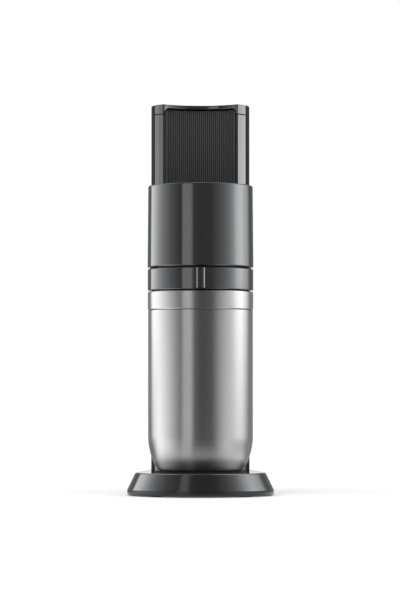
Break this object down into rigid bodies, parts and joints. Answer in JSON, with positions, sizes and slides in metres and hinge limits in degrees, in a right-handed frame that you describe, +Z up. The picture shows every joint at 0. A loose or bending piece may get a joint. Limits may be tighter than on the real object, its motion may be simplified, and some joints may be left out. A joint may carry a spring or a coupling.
{
  "type": "sparkling water maker",
  "caption": "Countertop sparkling water maker: oval base, gas column with a tilting top lever, lifting head with a turning locking ring, and a steel bottle vessel.",
  "frame": {"origin": "middle of the footprint's box, on the counter, under the feet", "axes": "+Z up along the column, -Y towards the user (the head, the vessel and the ring's tab face -Y), +X to the user's right"},
  "size_m": [0.1638, 0.276, 0.443],
  "materials": {
    "gloss_black": "gloss",
    "satin_black": "satin",
    "matt_black": "fine matt",
    "brushed_steel": "brushed",
    "steel_plate": "satin",
    "brass": "turned",
    "rubber": "matt",
    "tank_paint": "satin painted",
    "grip": "satin",
    "liner": "satin"
  },
  "bodies": {
    "stand": {"base_shell": "gloss_black", "base_plate": "satin_black", "drip_plate": "satin_black", "vessel_mat": "rubber", "foot_front_left": "rubber", "foot_front_right": "rubber", "foot_rear_left": "rubber", "foot_rear_right": "rubber", "base_screw_front": "steel_plate", "base_screw_left": "steel_plate", "base_screw_right": "steel_plate", "side_shell_left": "gloss_black", "side_shell_right": "gloss_black", "front_cover": "gloss_black", "ribbed_panel": "matt_black", "chassis_channel": "steel_plate", "valve_bracket": "steel_plate", "block_screw_left": "steel_plate", "block_screw_right": "steel_plate", "guide_rod_left": "brushed_steel", "guide_rod_right": "brushed_steel", "cylinder_seat": "satin_black", "gas_cylinder": "tank_paint", "cylinder_valve": "brass", "valve_block": "satin_black", "valve_gasket": "rubber", "gas_pipe": "brass", "gas_hose": "rubber", "plunger_spring": "brushed_steel", "hinge_pin_left": "brushed_steel", "hinge_pin_right": "brushed_steel", "clamp_pin_left": "brushed_steel", "clamp_pin_right": "brushed_steel"},
    "lever": {"lever_cap": "satin_black", "lever_boss": "satin_black"},
    "plunger": {"valve_plunger": "brushed_steel", "valve_pin": "brushed_steel"},
    "head": {"head_shell": "gloss_black", "head_lid": "gloss_black", "head_floor": "satin_black", "carriage_arm_left": "steel_plate", "carriage_arm_right": "steel_plate", "carriage_bridge": "satin_black", "guide_bush_left": "brass", "guide_bush_right": "brass", "nozzle_block": "satin_black", "nozzle_tube": "satin_black", "nozzle_tip": "satin_black", "bottle_seal": "rubber", "relief_valve": "brass", "gas_capillary": "brass"},
    "ring": {"locking_ring": "gloss_black", "ring_tab": "satin_black"},
    "vessel": {"vessel_shell": "brushed_steel", "vessel_collar": "brushed_steel", "vessel_liner": "liner", "vessel_foot": "rubber"},
    "cover": {"rear_cover": "gloss_black"},
    "clamp": {"clamp_yoke": "steel_plate", "clamp_grip": "grip"}
  },
  "joints": [
    {"name": "carbonating_lever", "type": "hinge", "parent": "stand", "child": "lever", "pos_m": [0, 0.001, 0.435], "axis": [-1, 0, 0], "range_deg": [0, 3], "stiffness_Nm_per_rad": 60},
    {"name": "valve_press", "type": "slide", "parent": "stand", "child": "plunger", "axis": [0, 0, -1], "range_m": [0, 0.0037], "deforming": ["plunger_spring"]},
    {"name": "head_lift", "type": "slide", "parent": "stand", "child": "head", "axis": [0, 0, 1], "range_m": [0, 0.08], "deforming": ["gas_hose"]},
    {"name": "locking_ring_turn", "type": "hinge", "parent": "head", "child": "ring", "pos_m": [0, -0.056, 0.24], "axis": [0, 0, 1], "range_deg": [0, 30]},
    {"name": "vessel_out", "type": "slide", "parent": "stand", "child": "vessel", "axis": [0, -1, 0], "range_m": [0, 0.15]},
    {"name": "rear_cover_off", "type": "slide", "parent": "stand", "child": "cover", "axis": [0, 1, 0], "range_m": [0, 0.08]},
    {"name": "cylinder_clamp", "type": "hinge", "parent": "stand", "child": "clamp", "pos_m": [0, 0.056, 0.372], "axis": [1, 0, 0], "range_deg": [0, 50]}
  ],
  "couplings": [
    {"joint": "valve_press", "follows": "carbonating_lever", "m_per_rad": 0.069}
  ]
}
